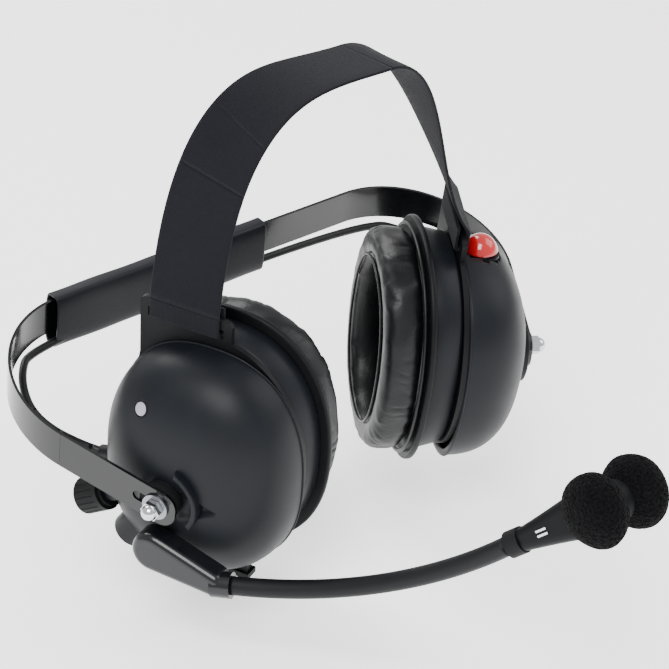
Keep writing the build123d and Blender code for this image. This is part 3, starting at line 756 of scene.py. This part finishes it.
@dataclass
class EarCup:
    """One earmuff: cushion, mounting ring, inner cup and domed shell."""

    frame: CupFrame
    cushion_half: tuple[float, float] = (41.0, 50.0)
    ear_half: tuple[float, float] = (26.0, 34.0)
    cushion_depth: float = 18.0
    swell: float = 0.9
    ring_half: tuple[float, float] = (44.0, 53.5)
    ring_from: float = 18.15
    ring_to: float = 20.75
    inner_half: tuple[float, float] = (40.0, 49.0)
    inner_from: float = 20.9
    inner_to: float = 32.9
    shell_half: tuple[float, float] = (40.5, 48.0)
    shell_drop: float = -4.0
    shell_from: float = 35.4
    shell_to: float = 66.9
    shell_wall: float = 2.4
    dome_power: float = 2.6

    def build(self) -> None:
        """Build and dress every piece of the cup."""
        self.cushion()
        self.mounting_ring()
        self.inner_cup()
        self.shell()
        if self.frame.side is Side.RIGHT:
            self.lens(-17.0, 25.0, 2.7)

    def cushion(self) -> None:
        """The padded ring: a squarish section carried round the oval, blown up as cloth, then creased."""
        count, turns = 320, 64
        around = np.linspace(0, 2 * np.pi, count, endpoint=False)
        sx, sz = ring((1.0, 1.0), np.linspace(0, 2 * np.pi, turns, endpoint=False), 3.6)
        ox, oy = ring((1.0, 1.0), around, 2.2)
        middle = [(a + b) / 2 for a, b in zip(self.cushion_half, self.ear_half)]
        half = [(a - b) / 2 - self.swell for a, b in zip(self.cushion_half, self.ear_half)]
        depth = self.cushion_depth / 2
        x = ox[:, None] * (middle[0] + half[0] * sx[None, :])
        y = oy[:, None] * (middle[1] + half[1] * sx[None, :])
        z = depth + (depth - self.swell) * sz[None, :] + 0 * x
        obj = surface(self.frame.side.node("cushion_pad"), self.frame.place(np.stack([x, y, z], -1)), wrap_rows=True)
        inflate(obj, voxel=3.5 * MM, pressure=4.0, cap=2 * self.swell * MM)
        self.crease(obj)
        finished(obj, LEATHERETTE, self.frame.body(), (self.frame.side.node("cushion"),))
        self.welts()

    def crease(self, obj: bpy.types.Object) -> None:
        """Slack skin on the outer side: broad dents, crossed by a few slanting creases that fade out.

        Args:
            obj: the cushion.
        """
        mesh = obj.data
        points = np.zeros(len(mesh.vertices) * 3)
        normals = np.zeros(len(mesh.vertices) * 3)
        mesh.vertices.foreach_get("co", points)
        mesh.vertices.foreach_get("normal", normals)
        points, normals = points.reshape(-1, 3), normals.reshape(-1, 3)
        ahead, up, out = self.frame.local(points).T
        share = np.hypot(ahead / self.cushion_half[0], up / self.cushion_half[1])
        side = np.clip((share - 0.86) / 0.1, 0, 1) * np.clip(1.15 - np.abs(out / self.cushion_depth * 2 - 1), 0, 1)
        dents = soft_noise(points, 17 * MM, 21)
        slant = np.arctan2(up, ahead) * 46.0 + out * 0.25 + dents * 2.0
        folds = np.clip(np.sin(slant) - 0.35, 0, 1) * np.clip(soft_noise(points, 30 * MM, 5), 0, 1)
        moved = points + normals * ((dents * 0.4 - folds * 1.2) * MM * side)[:, None]
        mesh.vertices.foreach_set("co", moved.ravel())
        mesh.update()

    def welts(self) -> None:
        """The cushion's sewn welts: a thin cord round the ear opening's edge and round the back of the skin."""
        angle = np.linspace(0, 2 * np.pi, 10, endpoint=False)
        for name, half, height, radius in (
            ("inner_welt", (self.ear_half[0] + 3.4, self.ear_half[1] + 3.4), 0.8, 0.55),
            ("outer_welt", (self.cushion_half[0] + 0.2, self.cushion_half[1] + 0.2), 16.4, 0.75),
        ):
            points = swept_oval(half, radius * np.cos(angle), height + radius * np.sin(angle), power=2.2)
            obj = surface(self.frame.side.node(name), self.frame.place(points), wrap_rows=True)
            finished(obj, LEATHERETTE, self.frame.body())

    def ringed(self, name: str, half: tuple[float, float], corners: list[tuple[float, float, float]], drop: float = 0.0) -> bpy.types.Object:
        """A solid ring of a rounded profile carried round an oval."""
        insets, heights = rounded_profile(corners)
        return surface(name, self.frame.place(swept_oval(half, insets, heights, drop=drop)), wrap_rows=True)

    def mounting_ring(self) -> None:
        """The lip that the cushion snaps onto, a thin plate with a rounded rim."""
        inner = 14.0
        corners = [(0, self.ring_from, 1.1), (0, self.ring_to, 1.1), (inner, self.ring_to, 0.4), (inner, self.ring_from, 0.4)]
        obj = self.ringed(self.frame.side.node("mounting_ring"), self.ring_half, corners)
        finished(obj, PLATE_ABS, self.frame.body(), (self.frame.side.node("cushion_plate"),))

    def inner_cup(self) -> None:
        """The moulded cup behind the cushion, slightly waisted, with its floor."""
        low, high, wall = self.inner_from, self.inner_to, 2.4
        insets = np.array([0.3, 0.0, 1.2, 2.2, 3.2, 12, 24, 39.9, 39.9, 24, 12, 5.0, 4.0, 2.9, 2.7])
        heights = np.array([low, low + 0.5, low + 6, high - 1.5, high, high, high, high, high - wall, high - wall, high - wall, high - wall, high - 5, low + 6, low])
        points = self.frame.place(swept_oval(self.inner_half, insets, heights))
        obj = surface(self.frame.side.node("cup_body"), points, wrap_rows=True)
        finished(obj, CUP_ABS, self.frame.body(), (self.frame.side.node("inner_cup"),))

    def dome(self, half: tuple[float, float], low: float, top: float, count: int = 200) -> np.ndarray:
        """The shell's outer form, from the rim to the middle.

        Height rises as sin(t)^(2/p) while the outline shrinks as cos(t)^(2/p), p = 2.6: a little squarer
        than an ellipse, so the face stays broad and the sides roll over gently.

        Args:
            half: half width and half height at the rim.
            low: the rim's height.
            top: the face's height.
            count: points round the oval.

        Returns:
            Cup points, rows from the rim to the middle.
        """
        t = np.linspace(0, np.pi / 2, 72)
        shrink = np.cos(t) ** (2 / self.dome_power)
        shrink[-1] = 0.0
        lift = np.sin(t) ** (2 / self.dome_power)
        angles = np.linspace(0, 2 * np.pi, count, endpoint=False)
        ox, oy = ring(half, angles, 2.35)
        x = ox[None, :] * shrink[:, None]
        y = oy[None, :] * shrink[:, None] + self.shell_drop
        z = low + (top - low) * lift[:, None] + 0 * x
        return np.stack([x, y, z], -1)

    def shell(self) -> None:
        """The outer shell: the dome outside, the same dome smaller inside, joined at the rim."""
        outside = self.dome(self.shell_half, self.shell_from, self.shell_to)
        wall = self.shell_wall
        inside = self.dome((self.shell_half[0] - wall, self.shell_half[1] - wall), self.shell_from, self.shell_to - wall)
        outside[..., 2] = self.relief(outside)
        if self.frame.side is Side.LEFT:
            outside = self.well(outside, angle=100.0, out=45.5, radius=8.2, depth=5.0)
        points = self.frame.place(np.concatenate([inside[::-1], outside]))
        obj = surface(self.frame.side.node("shell_cover"), points)
        finished(obj, CUP_ABS, self.frame.body(), (self.frame.side.node("outer_shell"),))
        self.seam()
        self.guard()

    def guard(self, inner: float = 13.2, outer: float = 15.4, rise: float = 3.6) -> None:
        """The raised C-shaped guard ahead of the stud, a rounded wall open towards the band's arm.

        Args:
            inner: its inner radius.
            outer: its outer radius.
            rise: its height over the shell's face.
        """
        turn = np.radians(np.linspace(-42, 72, 60))
        wall = [(inner, -1.6, 0.3), (inner, rise, 0.7), (outer, rise, 0.7), (outer, -1.6, 0.3)]
        radii, heights = rounded_profile(wall)
        taper = np.clip(np.minimum(turn - turn[0], turn[-1] - turn) / 0.12, 0, 1) ** 0.5
        lift = np.where(heights > 0, heights, 0)[None, :] * taper[:, None] + np.minimum(heights, 0)[None, :]
        x = LAYOUT.stud_at[0] + np.cos(turn)[:, None] * radii[None, :]
        y = LAYOUT.stud_at[1] + np.sin(turn)[:, None] * radii[None, :]
        points = np.stack([x, y, self.shell_to - 0.6 + lift], -1)
        obj = surface(self.frame.side.node("stud_guard"), self.frame.place(points), capped=True)
        finished(obj, CUP_ABS, self.frame.body())

    def relief(self, outside: np.ndarray) -> np.ndarray:
        """Heights of the moulded relief: a round pad under the stud and a shallow three-sided dish ahead of it.

        Args:
            outside: the dome's cup points.

        Returns:
            The new heights.
        """
        x, y, z = outside[..., 0], outside[..., 1], outside[..., 2]
        dx, dy = x - LAYOUT.stud_at[0], y - LAYOUT.stud_at[1]
        reach = np.hypot(dx, dy)
        pad = 1 / (1 + np.exp((reach - 11.5) / 0.5))
        face = z > self.shell_to - 14
        level = np.where(face, z + (self.shell_to - z) * pad, z)
        # the dish narrows to a point ahead: its half width falls with the distance from the stud
        half = 5.2 * (1 - (dx - 8.0) / 13.0)
        dish = 1 / (1 + np.exp((np.abs(dy + 1.0) - half) / 0.3)) * ((dx > 6.0) & (dx < 24.0))
        return np.where(face, level - 2.2 * dish * (1 - pad * 0.5), z)

    def well(self, outside: np.ndarray, angle: float, out: float, radius: float, depth: float) -> np.ndarray:
        """Sink a round well into the shell's side wall, for a button to move in.

        Args:
            outside: the dome's cup points.
            angle: the button's place round the shell, in degrees from ahead.
            out: its height outward from the contact face.
            radius: the well's radius.
            depth: the well's depth.

        Returns:
            The new cup points.
        """
        turn = math.radians(angle)
        inward = -np.array([math.cos(turn), math.sin(turn), 0.0])
        from_axis = outside - np.array([0.0, self.shell_drop, out])
        flat = from_axis - (from_axis @ inward)[..., None] * inward
        near = (np.linalg.norm(flat, axis=-1) < radius) & (from_axis @ inward < 0)
        return outside + (near * depth)[..., None] * inward

    def height_at(self, x: float, y: float) -> float:
        """The dome's height over a point of the face, in millimetres.

        Args:
            x: distance ahead of the ear centre.
            y: distance above the ear centre.

        Returns:
            The height outward from the contact face.
        """
        share = (abs(x / self.shell_half[0]) ** 2.35 + abs((y - self.shell_drop) / self.shell_half[1]) ** 2.35) ** (1 / 2.35)
        t = math.acos(min(share ** (self.dome_power / 2), 1.0))
        return self.shell_from + (self.shell_to - self.shell_from) * math.sin(t) ** (2 / self.dome_power)

    def lens(self, x: float, y: float, radius: float) -> None:
        """The status light: a low frosted dome let into a narrow dark well in the shell's face.

        Args:
            x: distance ahead of the ear centre.
            y: distance above the ear centre.
            radius: the lens's radius.
        """
        step = 0.5
        top = self.height_at(x, y)
        slope = np.array([self.height_at(x + step, y) - top, self.height_at(x, y + step) - top]) / step
        normal = np.array([-slope[0], -slope[1], 1.0])
        normal /= np.linalg.norm(normal)
        across = np.cross(normal, [0.0, 1.0, 0.0])
        across /= np.linalg.norm(across)
        other = np.cross(normal, across)
        u = np.linspace(0, 2 * np.pi, 48, endpoint=False)
        rim = across * np.cos(u)[:, None] + other * np.sin(u)[:, None]
        for name, reach, lift, finish, slot in (
            ("status_lens_dome", np.array([0, 0.5, 0.8, 0.97, 1.0, 1.0, 0]) * radius, np.array([0.55, 0.48, 0.32, 0.1, -0.1, -1.5, -1.5]), LENS, "frosted_lens"),
            ("status_lens_well", np.array([1.04, 1.04, 1.2, 1.32, 1.32, 1.04]) * radius, np.array([-1.4, 0.02, 0.16, 0.0, -1.4, -1.4]), PLATE_ABS, "dark_plastic"),
        ):
            grid = np.array([x, y, top]) + rim[None] * reach[:, None, None] + normal * lift[:, None, None]
            obj = surface(name, self.frame.place(grid), wrap_rows=reach[0] > 0)
            replaced = ("status_lens",) if reach[0] == 0 else ()
            finished(obj, finish, self.frame.body(), replaced)

    def seam(self) -> None:
        """A raised bead round the shell's open edge, where it meets the bracket plate."""
        angle = np.linspace(0, 2 * np.pi, 10, endpoint=False)
        points = swept_oval(
            self.shell_half, 0.2 + 0.7 * np.cos(angle), self.shell_from + 0.55 + 0.5 * np.sin(angle), 2.35, self.shell_drop, 200
        )
        obj = surface(self.frame.side.node("shell_edge_bead"), self.frame.place(points), wrap_rows=True)
        finished(obj, CUP_ABS, self.frame.body())


# ---- the strap over the head -------------------------------------------------------------------------


@dataclass
class HeadStrap:
    """The fabric strap: each half is three lengths along its curve between the cup and the crown."""

    width: float = 30.0
    thickness: float = 1.4
    slot_centre: float = -13.0
    slot_low: float = 48.9
    wing_top: float = 57.0
    strap_out: float = 36.35
    crown: tuple[float, float] = (-38.0, 147.0)
    rise: tuple[float, float] = (92.0, 30.0)
    lean: tuple[float, float] = (0.15, 0.8)
    pull: tuple[float, float] = (0.5, 0.42)

    def half_path(self, frame: CupFrame) -> tuple[np.ndarray, np.ndarray]:
        """One half of the arch, from a cup to the crown, and its width direction.

        Args:
            frame: the cup's frame.

        Returns:
            Path points in metres and unit width directions.
        """
        start = np.array(frame.point(self.slot_centre, self.wing_top + 1.3, self.strap_out))
        which = 0 if frame.side is Side.RIGHT else 1
        up = np.array(frame.point(self.slot_centre, self.wing_top + 101.3, self.strap_out - 100 * self.lean[which])) - start
        up *= self.rise[which] * MM / np.linalg.norm(up)
        ahead = np.array(frame.point(100, 0, 0)) - np.array(frame.point(0, 0, 0))
        ahead /= np.linalg.norm(ahead)
        crown = np.array([0.0, self.crown[0], self.crown[1]]) * MM
        side = np.array([(crown - start)[0] * self.pull[which], 0.0, 0.0])
        t = np.linspace(0, 1, 121)
        path = bezier(start, start + up, crown - side, crown, t)
        ease = (t * t * (3 - 2 * t))[:, None]
        across = ahead * (1 - ease) + np.array([0.0, -1.0, 0.0]) * ease
        return path, across

    def build(self) -> None:
        """Build the six lengths of the arch and the two folded ends."""
        for side in Side:
            frame = CupFrame(side)
            path, across = self.half_path(frame)
            run = np.concatenate([[0], np.cumsum(np.linalg.norm(np.diff(path, axis=0), axis=1))])
            parts = (
                ("strap_to_cup", 0, 31, side.node("slider"), side.node("cup")),
                ("strap_shoulder", 30, 51, side.node("band_arm"), side.node("slider")),
                ("strap_over", 50, 121, "band", side.node("band_arm")),
            )
            for name, low, high, far_body, near_body in parts:
                obj = self.length(side.node(name), path[low:high], across[low:high], run[low:high])
                dress(obj, STRAP_NYLON)
                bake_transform(obj)
                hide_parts("head_strap")
                side.node("strap_bracket")
            self.folded_end(frame)

    def length(self, name: str, path: np.ndarray, across: np.ndarray, run: np.ndarray) -> bpy.types.Object:
        """A length of strap: a thin squarish oval section carried along the path."""
        wide = np.full(len(path), self.width / 2 * MM)
        thick = np.full(len(path), self.thickness / 2 * MM)
        count = 40
        angles = np.linspace(0, 2 * np.pi, count, endpoint=False)
        x, y = ring((1.0, 1.0), angles, 8.0)
        _, side, normal = path_frames(path, across)
        grid = path[:, None] + side[:, None] * (x * wide[0])[None, :, None] + normal[:, None] * (y * thick[0])[None, :, None]
        obj = surface(name, grid, capped=True)
        add_uv(obj, np.repeat(run, count), np.tile(x * wide[0], len(path)))
        return obj

    def folded_end(self, frame: CupFrame) -> None:
        """The end of the strap: down outside the plate, through its slot and up inside it."""
        out, inside, low, top = self.strap_out, 31.85, self.slot_low + 1.2, self.wing_top + 1.3
        t = np.linspace(0, np.pi, 14)
        turn = np.stack([np.full(14, low) - 1.1 * np.sin(t), (out + inside) / 2 + (out - inside) / 2 * np.cos(t)], -1)
        up_out = np.stack([np.linspace(top, low, 10), np.full(10, out)], -1)
        up_in = np.stack([np.linspace(low, top + 2, 10), np.full(10, inside)], -1)
        line = np.concatenate([up_out[:-1], turn, up_in[1:]])
        cup = np.stack([np.full(len(line), self.slot_centre), line[:, 0], line[:, 1]], -1)
        path = frame.place(cup)
        ahead = np.array(frame.point(100, 0, 0)) - np.array(frame.point(0, 0, 0))
        run = np.concatenate([[0], np.cumsum(np.linalg.norm(np.diff(path, axis=0), axis=1))])
        obj = self.length(frame.side.node("strap_fold"), path, ahead / np.linalg.norm(ahead), run)
        finished(obj, STRAP_NYLON, frame.body(), (frame.side.node("strap_end"),))
        frame.side.node("strap_bracket")


# ---- boom and microphone ------------------------------------------------------------------------------


@dataclass
class Boom:
    """The gooseneck and the two windscreens at its end."""

    start: tuple[float, float, float] = (-83.1, -57.9, -41.4)
    middle: tuple[float, float, float] = (-51.0, -112.0, -26.0)
    tip: tuple[float, float, float] = (-32.0, -154.0, 3.0)
    mic: tuple[float, float, float] = (-14.0, -188.0, 31.0)
    radius: float = 3.7
    foam_half: float = 9.6
    foam_radius: float = 13.8
    foam_gap: float = 0.5

    def arc(self, count: int) -> np.ndarray:
        """The circular arc through the three points, at equal angles.

        Args:
            count: how many points.

        Returns:
            Rows of X, Y, Z in metres.
        """
        a, b, c = (np.array(p) for p in (self.start, self.middle, self.tip))
        ab, ac = b - a, c - a
        normal = np.cross(ab, ac)
        to_centre = (np.cross(normal, ab) * (ac @ ac) + np.cross(ac, normal) * (ab @ ab)) / (2 * normal @ normal)
        centre = a + to_centre
        first = a - centre
        radius = np.linalg.norm(first)
        second = np.cross(normal / np.linalg.norm(normal), first)
        last = c - centre
        sweep = math.atan2(last @ second / radius, last @ first / radius)
        angle = np.linspace(0, sweep, count)[:, None]
        return (centre + first * np.cos(angle) + second * np.sin(angle)) * MM

    def build(self) -> None:
        """Build the gooseneck and both windscreens."""
        path = self.arc(121)
        size = np.full(len(path), self.radius * MM)
        grid = carried(path, np.array([0.0, 0.0, 1.0]), size, size, 2.0, 32)
        neck = surface("gooseneck_tube", grid, capped=True)
        dress(neck, SHRINK)
        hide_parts("gooseneck_rear", "gooseneck_front")
        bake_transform(neck)
        log.info("gooseneck_tube: %d faces", len(neck.data.polygons))
        for name, sign in (("outer_windscreen", -1.0), ("inner_windscreen", 1.0)):
            self.windscreen(name, sign)

    def windscreen(self, name: str, sign: float) -> None:
        """A foam ball, flattened across the head, with a pitted surface.

        Each point of a sphere grid is scaled to the half sizes, then moved in or out by fine noise.
        """
        rows, columns = 150, 300
        v = np.linspace(0, np.pi, rows)
        u = np.linspace(0, 2 * np.pi, columns, endpoint=False)
        vv, uu = np.meshgrid(v, u, indexing="ij")
        unit = np.stack([np.cos(vv), np.sin(vv) * np.cos(uu), np.sin(vv) * np.sin(uu)], -1)
        half = np.array([self.foam_half, self.foam_radius, self.foam_radius]) * MM
        points = unit * half
        pits = soft_noise(points, 1.5 * MM, 31 + int(sign), 60)
        lumps = soft_noise(points, 12 * MM, 41 + int(sign), 12)
        points = points * (1 + 0.012 * lumps - 0.022 * np.clip(pits, 0, 2))[..., None]
        centre = np.array(self.mic) * MM + np.array([sign * (self.foam_half + self.foam_gap / 2) * MM, 0, 0])
        obj = surface(name + "_foam", points + centre)
        finished(obj, FOAM, "boom_end", (name,))


# ---- band sleeve and cable -----------------------------------------------------------------------------


@dataclass
class BandCover:
    """The vinyl sleeve over the back of the band."""

    sleeve_x: tuple[float, float] = (-76.0, 32.0)
    thickness: float = 8.4
    low: float = -14.9
    high: float = 9.5

    def build(self) -> None:
        """A flat tube along the back: a squarish oval with slack ripples, turned in at both ends."""
        count, rows = 72, 160
        along = np.linspace(*self.sleeve_x, rows)
        middle, half = (self.low + self.high) / 2, (self.high - self.low) / 2
        x, y = ring((1.0, 1.0), np.linspace(0, 2 * np.pi, count, endpoint=False), 4.5)
        ripple = 1 + 0.03 * np.sin(along / 7.0) * np.sin(along / 17.0 + 1)
        plan_x = np.repeat(along[:, None], count, 1)
        plan_y = LAYOUT.band_back + (y * self.thickness / 2)[None, :] * ripple[:, None]
        above = middle + (x * half)[None, :] * (1 + 0.008 * np.sin(along / 5.0))[:, None]
        lift = LAYOUT.band_back * math.tan(math.radians(LAYOUT.rise))
        outside = np.stack([plan_x, plan_y, above + lift], -1)
        shrink = 0.86
        inner_y = LAYOUT.band_back + (plan_y - LAYOUT.band_back) * shrink
        inner_z = middle + (above - middle) * 0.93 + lift
        inside = np.stack([plan_x, inner_y, inner_z], -1)[::-1]
        points = LAYOUT.to_world(np.concatenate([outside, inside]))
        obj = surface("vinyl_sleeve", points, wrap_rows=True)
        finished(obj, VINYL, "band", ("band_sleeve",))


@dataclass
class CrossoverCable:
    """The thin cable from cup to cup: one length on the band, and three short ones at each end."""

    radius: float = 1.7
    lead: float = 9.0
    drop: float = 11.2
    route_right: tuple[tuple[float, float], ...] = ((-108.0, 66.0), (-101.0, 88.0), (-86.0, 102.0))
    route_left: tuple[tuple[float, float], ...] = ((114.0, 66.0), (107.5, 88.0), (92.0, 102.0))
    exit_angle: float = 196.0
    exit_reach: float = 39.36
    exit_drop: float = -4.0
    exit_out: float = 44.4

    def leaving(self, frame: CupFrame) -> np.ndarray:
        """The two points of the straight run out of a cup's grommet, in metres."""
        turn = math.radians(self.exit_angle)
        reach = self.exit_reach + np.array([0.0, self.lead])
        cup = np.stack([reach * math.cos(turn), self.exit_drop + reach * math.sin(turn), np.full(2, self.exit_out)], -1)
        return frame.place(cup)

    def smooth(self, control: np.ndarray, steps: int = 14) -> np.ndarray:
        """Round a chain of points: each inner point pulls a curve between the middles of its two spans.

        Args:
            control: the chain's points.
            steps: points on each curve.

        Returns:
            The rounded path.
        """
        middles = (control[:-1] + control[1:]) / 2
        middles[0], middles[-1] = control[0], control[-1]
        t = np.linspace(0, 1, steps, endpoint=False)[:, None]
        curves = [
            (1 - t) ** 2 * middles[k] + 2 * t * (1 - t) * control[k + 1] + t**2 * middles[k + 1]
            for k in range(len(middles) - 1)
        ]
        return np.concatenate([*curves, control[-1:]])

    def build(self) -> None:
        """Build the length on the band and the short lengths at both cups."""
        right = LAYOUT.plan_to_world(np.array(self.route_right), -self.drop)
        left = LAYOUT.plan_to_world(np.array(self.route_left), -self.drop)
        ends = {side: self.leaving(CupFrame(side)) for side in Side}
        path = self.smooth(np.concatenate([ends[Side.RIGHT], right, left[::-1], ends[Side.LEFT][::-1]]))
        size = np.full(len(path), self.radius * MM)
        grid = carried(path, np.array([0.0, 0.0, 1.0]), size, size, 2.0, 20)
        cut = 8
        last = len(path) - 1
        middle = surface("cable_back", grid[3 * cut : last - 3 * cut + 1], capped=True)
        finished(middle, JACKET, "band", ("crossover_cable",))
        for side, rows in ((Side.RIGHT, np.arange(last + 1)), (Side.LEFT, np.arange(last, -1, -1))):
            joins = ("cup", "slider", "band_arm", "band")
            for k, name in enumerate(("cable_lead", "cable_slack", "cable_turn")):
                span = rows[k * cut : (k + 1) * cut + 1]
                near = side.node(joins[k])
                far = "band" if joins[k + 1] == "band" else side.node(joins[k + 1])
                obj = surface(side.node(name), grid[span], capped=True)
                dress(obj, JACKET)
                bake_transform(obj)
                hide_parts("crossover_cable")


# ---- pieces that keep the frame's own shape ---------------------------------------------------------------


KEPT = {
    SPRING_STEEL: ("band_back", "right_arm", "left_arm"),
    JACKET: ("right_cable_grommet", "left_cable_grommet"),
    CUP_ABS: ("talk_collar", "function_bezel", "boom_pin", "volume_bushing"),
    PLATE_ABS: ("right_strap_bracket", "left_strap_bracket", "mic_outer_half", "mic_inner_half", "mic_core"),
    MOUNT_ABS: ("boom_mount",),
    ACOUSTIC: ("right_damping_foam", "left_damping_foam"),
    RUBBER: ("right_rubber_washer", "left_rubber_washer", "port_cover", "volume_knob", "tip_collar"),
    CHROME: ("right_acorn_nut", "left_acorn_nut", "mic_slot_trim"),
    ZINC: (
        "right_stud", "left_stud", "right_flat_washer", "left_flat_washer", "right_shell_screws",
        "left_shell_screws", "volume_shaft",
    ),
    RED: ("talk_button",),
    BLUE: ("function_button",),
    LENS: ("status_lens",),
    SWITCH_BODY: (
        "function_switch", "talk_switch", "charging_socket", "right_speaker", "left_speaker",
    ),
    BOARD: ("main_board", "charge_board"),
    CELL_WRAP: ("battery",),
}


def dress_kept(nodes: dict[str, bpy.types.Object]) -> None:
    """Give every node that keeps its shape its finish."""
    for finish, names in KEPT.items():
        for name in names:
            dress(nodes[name], finish)


# ---- studio ---------------------------------------------------------------------------------------------------


@dataclass(frozen=True)
class Studio:
    """A plain pale floor, soft lights and the camera."""

    azimuth: float = -40.9
    elevation: float = 30.4
    distance: float = 1.0
    lens: float = 133.5
    pivot: tuple[float, float, float] = (0.0, -0.031, -0.012)
    aim_right: float = -0.0070
    aim_up: float = 0.0347
    floor_drop: float = -0.075
    floor_glow: float = 0.9

    def build(self) -> None:
        """Build the camera, the lights and the floor."""
        a, e = math.radians(self.azimuth), math.radians(self.elevation)
        back = Vector((math.sin(a) * math.cos(e), -math.cos(a) * math.cos(e), math.sin(e)))
        right = Vector((math.cos(a), math.sin(a), 0.0))
        up = back.cross(right)
        data = bpy.data.cameras.new("camera")
        data.lens = self.lens
        data.sensor_width = 36.0
        camera = bpy.data.objects.new("camera", data)
        bpy.context.scene.collection.objects.link(camera)
        place = Vector(self.pivot) + back * self.distance
        target = Vector(self.pivot) + right * self.aim_right + up * self.aim_up
        camera.location = place
        camera.rotation_euler = (target - place).to_track_quat("-Z", "Y").to_euler()
        bpy.context.scene.camera = camera
        self.light("key", (-0.75, -0.55, 1.15), 0.8, 24.0)
        self.light("fill", (0.9, -0.5, 0.8), 0.9, 7.0)
        self.light("rim", (0.1, 0.9, 1.0), 0.7, 14.0)
        world = bpy.data.worlds.new("studio")
        world.use_nodes = True
        world.node_tree.nodes["Background"].inputs["Color"].default_value = (1.0, 1.0, 1.0, 1.0)
        world.node_tree.nodes["Background"].inputs["Strength"].default_value = 0.95
        bpy.context.scene.world = world
        self.floor()

    def light(self, name: str, place: tuple[float, float, float], size: float, power: float) -> None:
        """A soft square light that faces the headset."""
        data = bpy.data.lights.new(name, "AREA")
        data.shape = "SQUARE"
        data.size = size
        data.energy = power
        lamp = bpy.data.objects.new(name, data)
        lamp.location = place
        lamp.rotation_euler = (-Vector(place)).to_track_quat("-Z", "Y").to_euler()
        bpy.context.scene.collection.objects.link(lamp)

    def floor(self) -> None:
        """A wide pale floor under the headset."""
        reach = 4.0
        corners = np.array([[-reach, -reach, 0], [reach, -reach, 0], [reach, reach, 0], [-reach, reach, 0]])
        corners[:, 2] = self.floor_drop
        obj = mesh_object("floor", corners, [(0, 1, 2, 3)], smooth=False)
        material = bpy.data.materials.new("pale_floor")
        material.use_nodes = True
        shader = material.node_tree.nodes["Principled BSDF"]
        shader.inputs["Base Color"].default_value = linear("#fbfbfb")
        shader.inputs["Roughness"].default_value = 0.9
        shader.inputs["Emission Color"].default_value = linear("#ffffff")
        shader.inputs["Emission Strength"].default_value = self.floor_glow
        obj.data.materials.append(material)


def main() -> None:
    """Load the frame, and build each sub-assembly in order."""
    logging.basicConfig(level=logging.INFO, format="%(message)s")
    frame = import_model()
    Studio().build()
    for side in Side:
        EarCup(CupFrame(side)).build()
    HeadStrap().build()
    Boom().build()
    BandCover().build()
    CrossoverCable().build()
    dress_kept(frame["nodes"])


if __name__ == "__main__":
    main()
